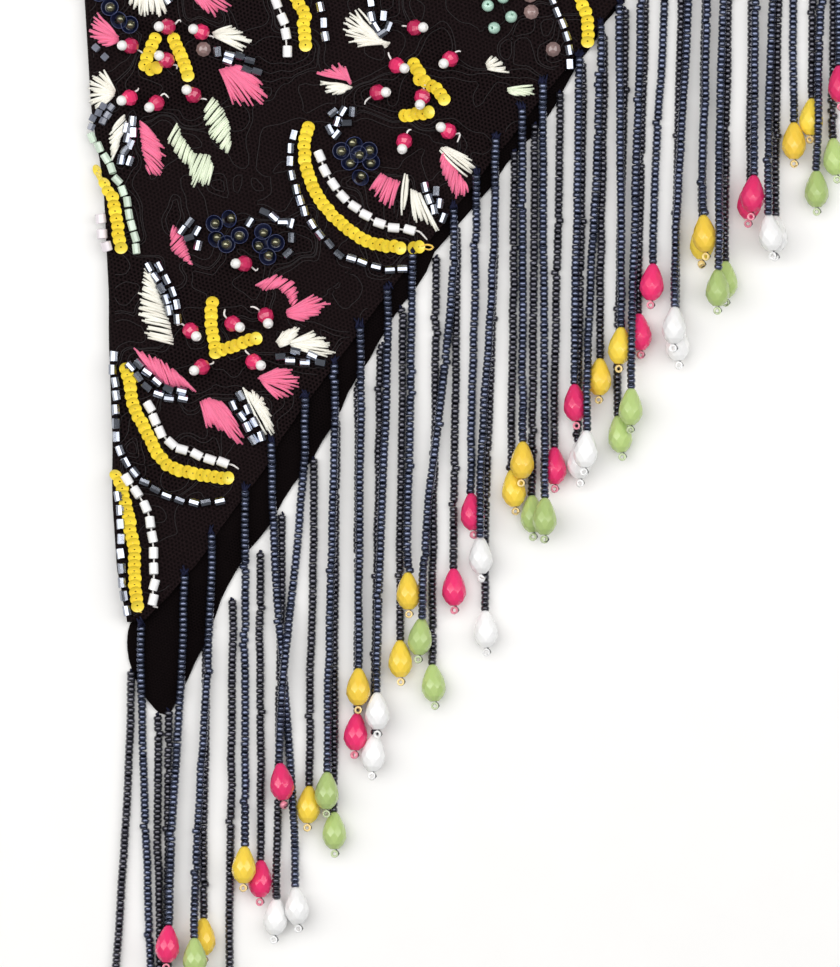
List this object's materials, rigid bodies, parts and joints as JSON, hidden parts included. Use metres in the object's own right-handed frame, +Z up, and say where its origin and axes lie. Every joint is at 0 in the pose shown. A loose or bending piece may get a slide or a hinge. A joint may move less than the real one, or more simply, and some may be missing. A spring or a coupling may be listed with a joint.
{
  "type": "lace bandana",
  "caption": "Triangular lace bandana folded in half along its middle and laid flat, beaded and embroidered, with long bead-strand fringe ending in faceted drops along both short edges.",
  "frame": {"origin": "on the underside of the lower layer, where it rests, near the middle of the folded cloth", "axes": "+Z up from the surface it lies on, +Y from the fringed point towards the long edge as the picture shows it upright, +X towards the fringed side"},
  "size_m": [0.3614, 0.5621, 0.0121],
  "materials": {
    "lace": "black-brown corded lace with beadwork and silk embroidery",
    "seed_beads": "dark navy iridescent glass seed beads with coloured faceted drops"
  },
  "bodies": {
    "root": {"lower_layer": "lace", "upper_layer": "lace", "lower_fringe": "seed_beads", "upper_fringe": "seed_beads"}
  },
  "joints": []
}
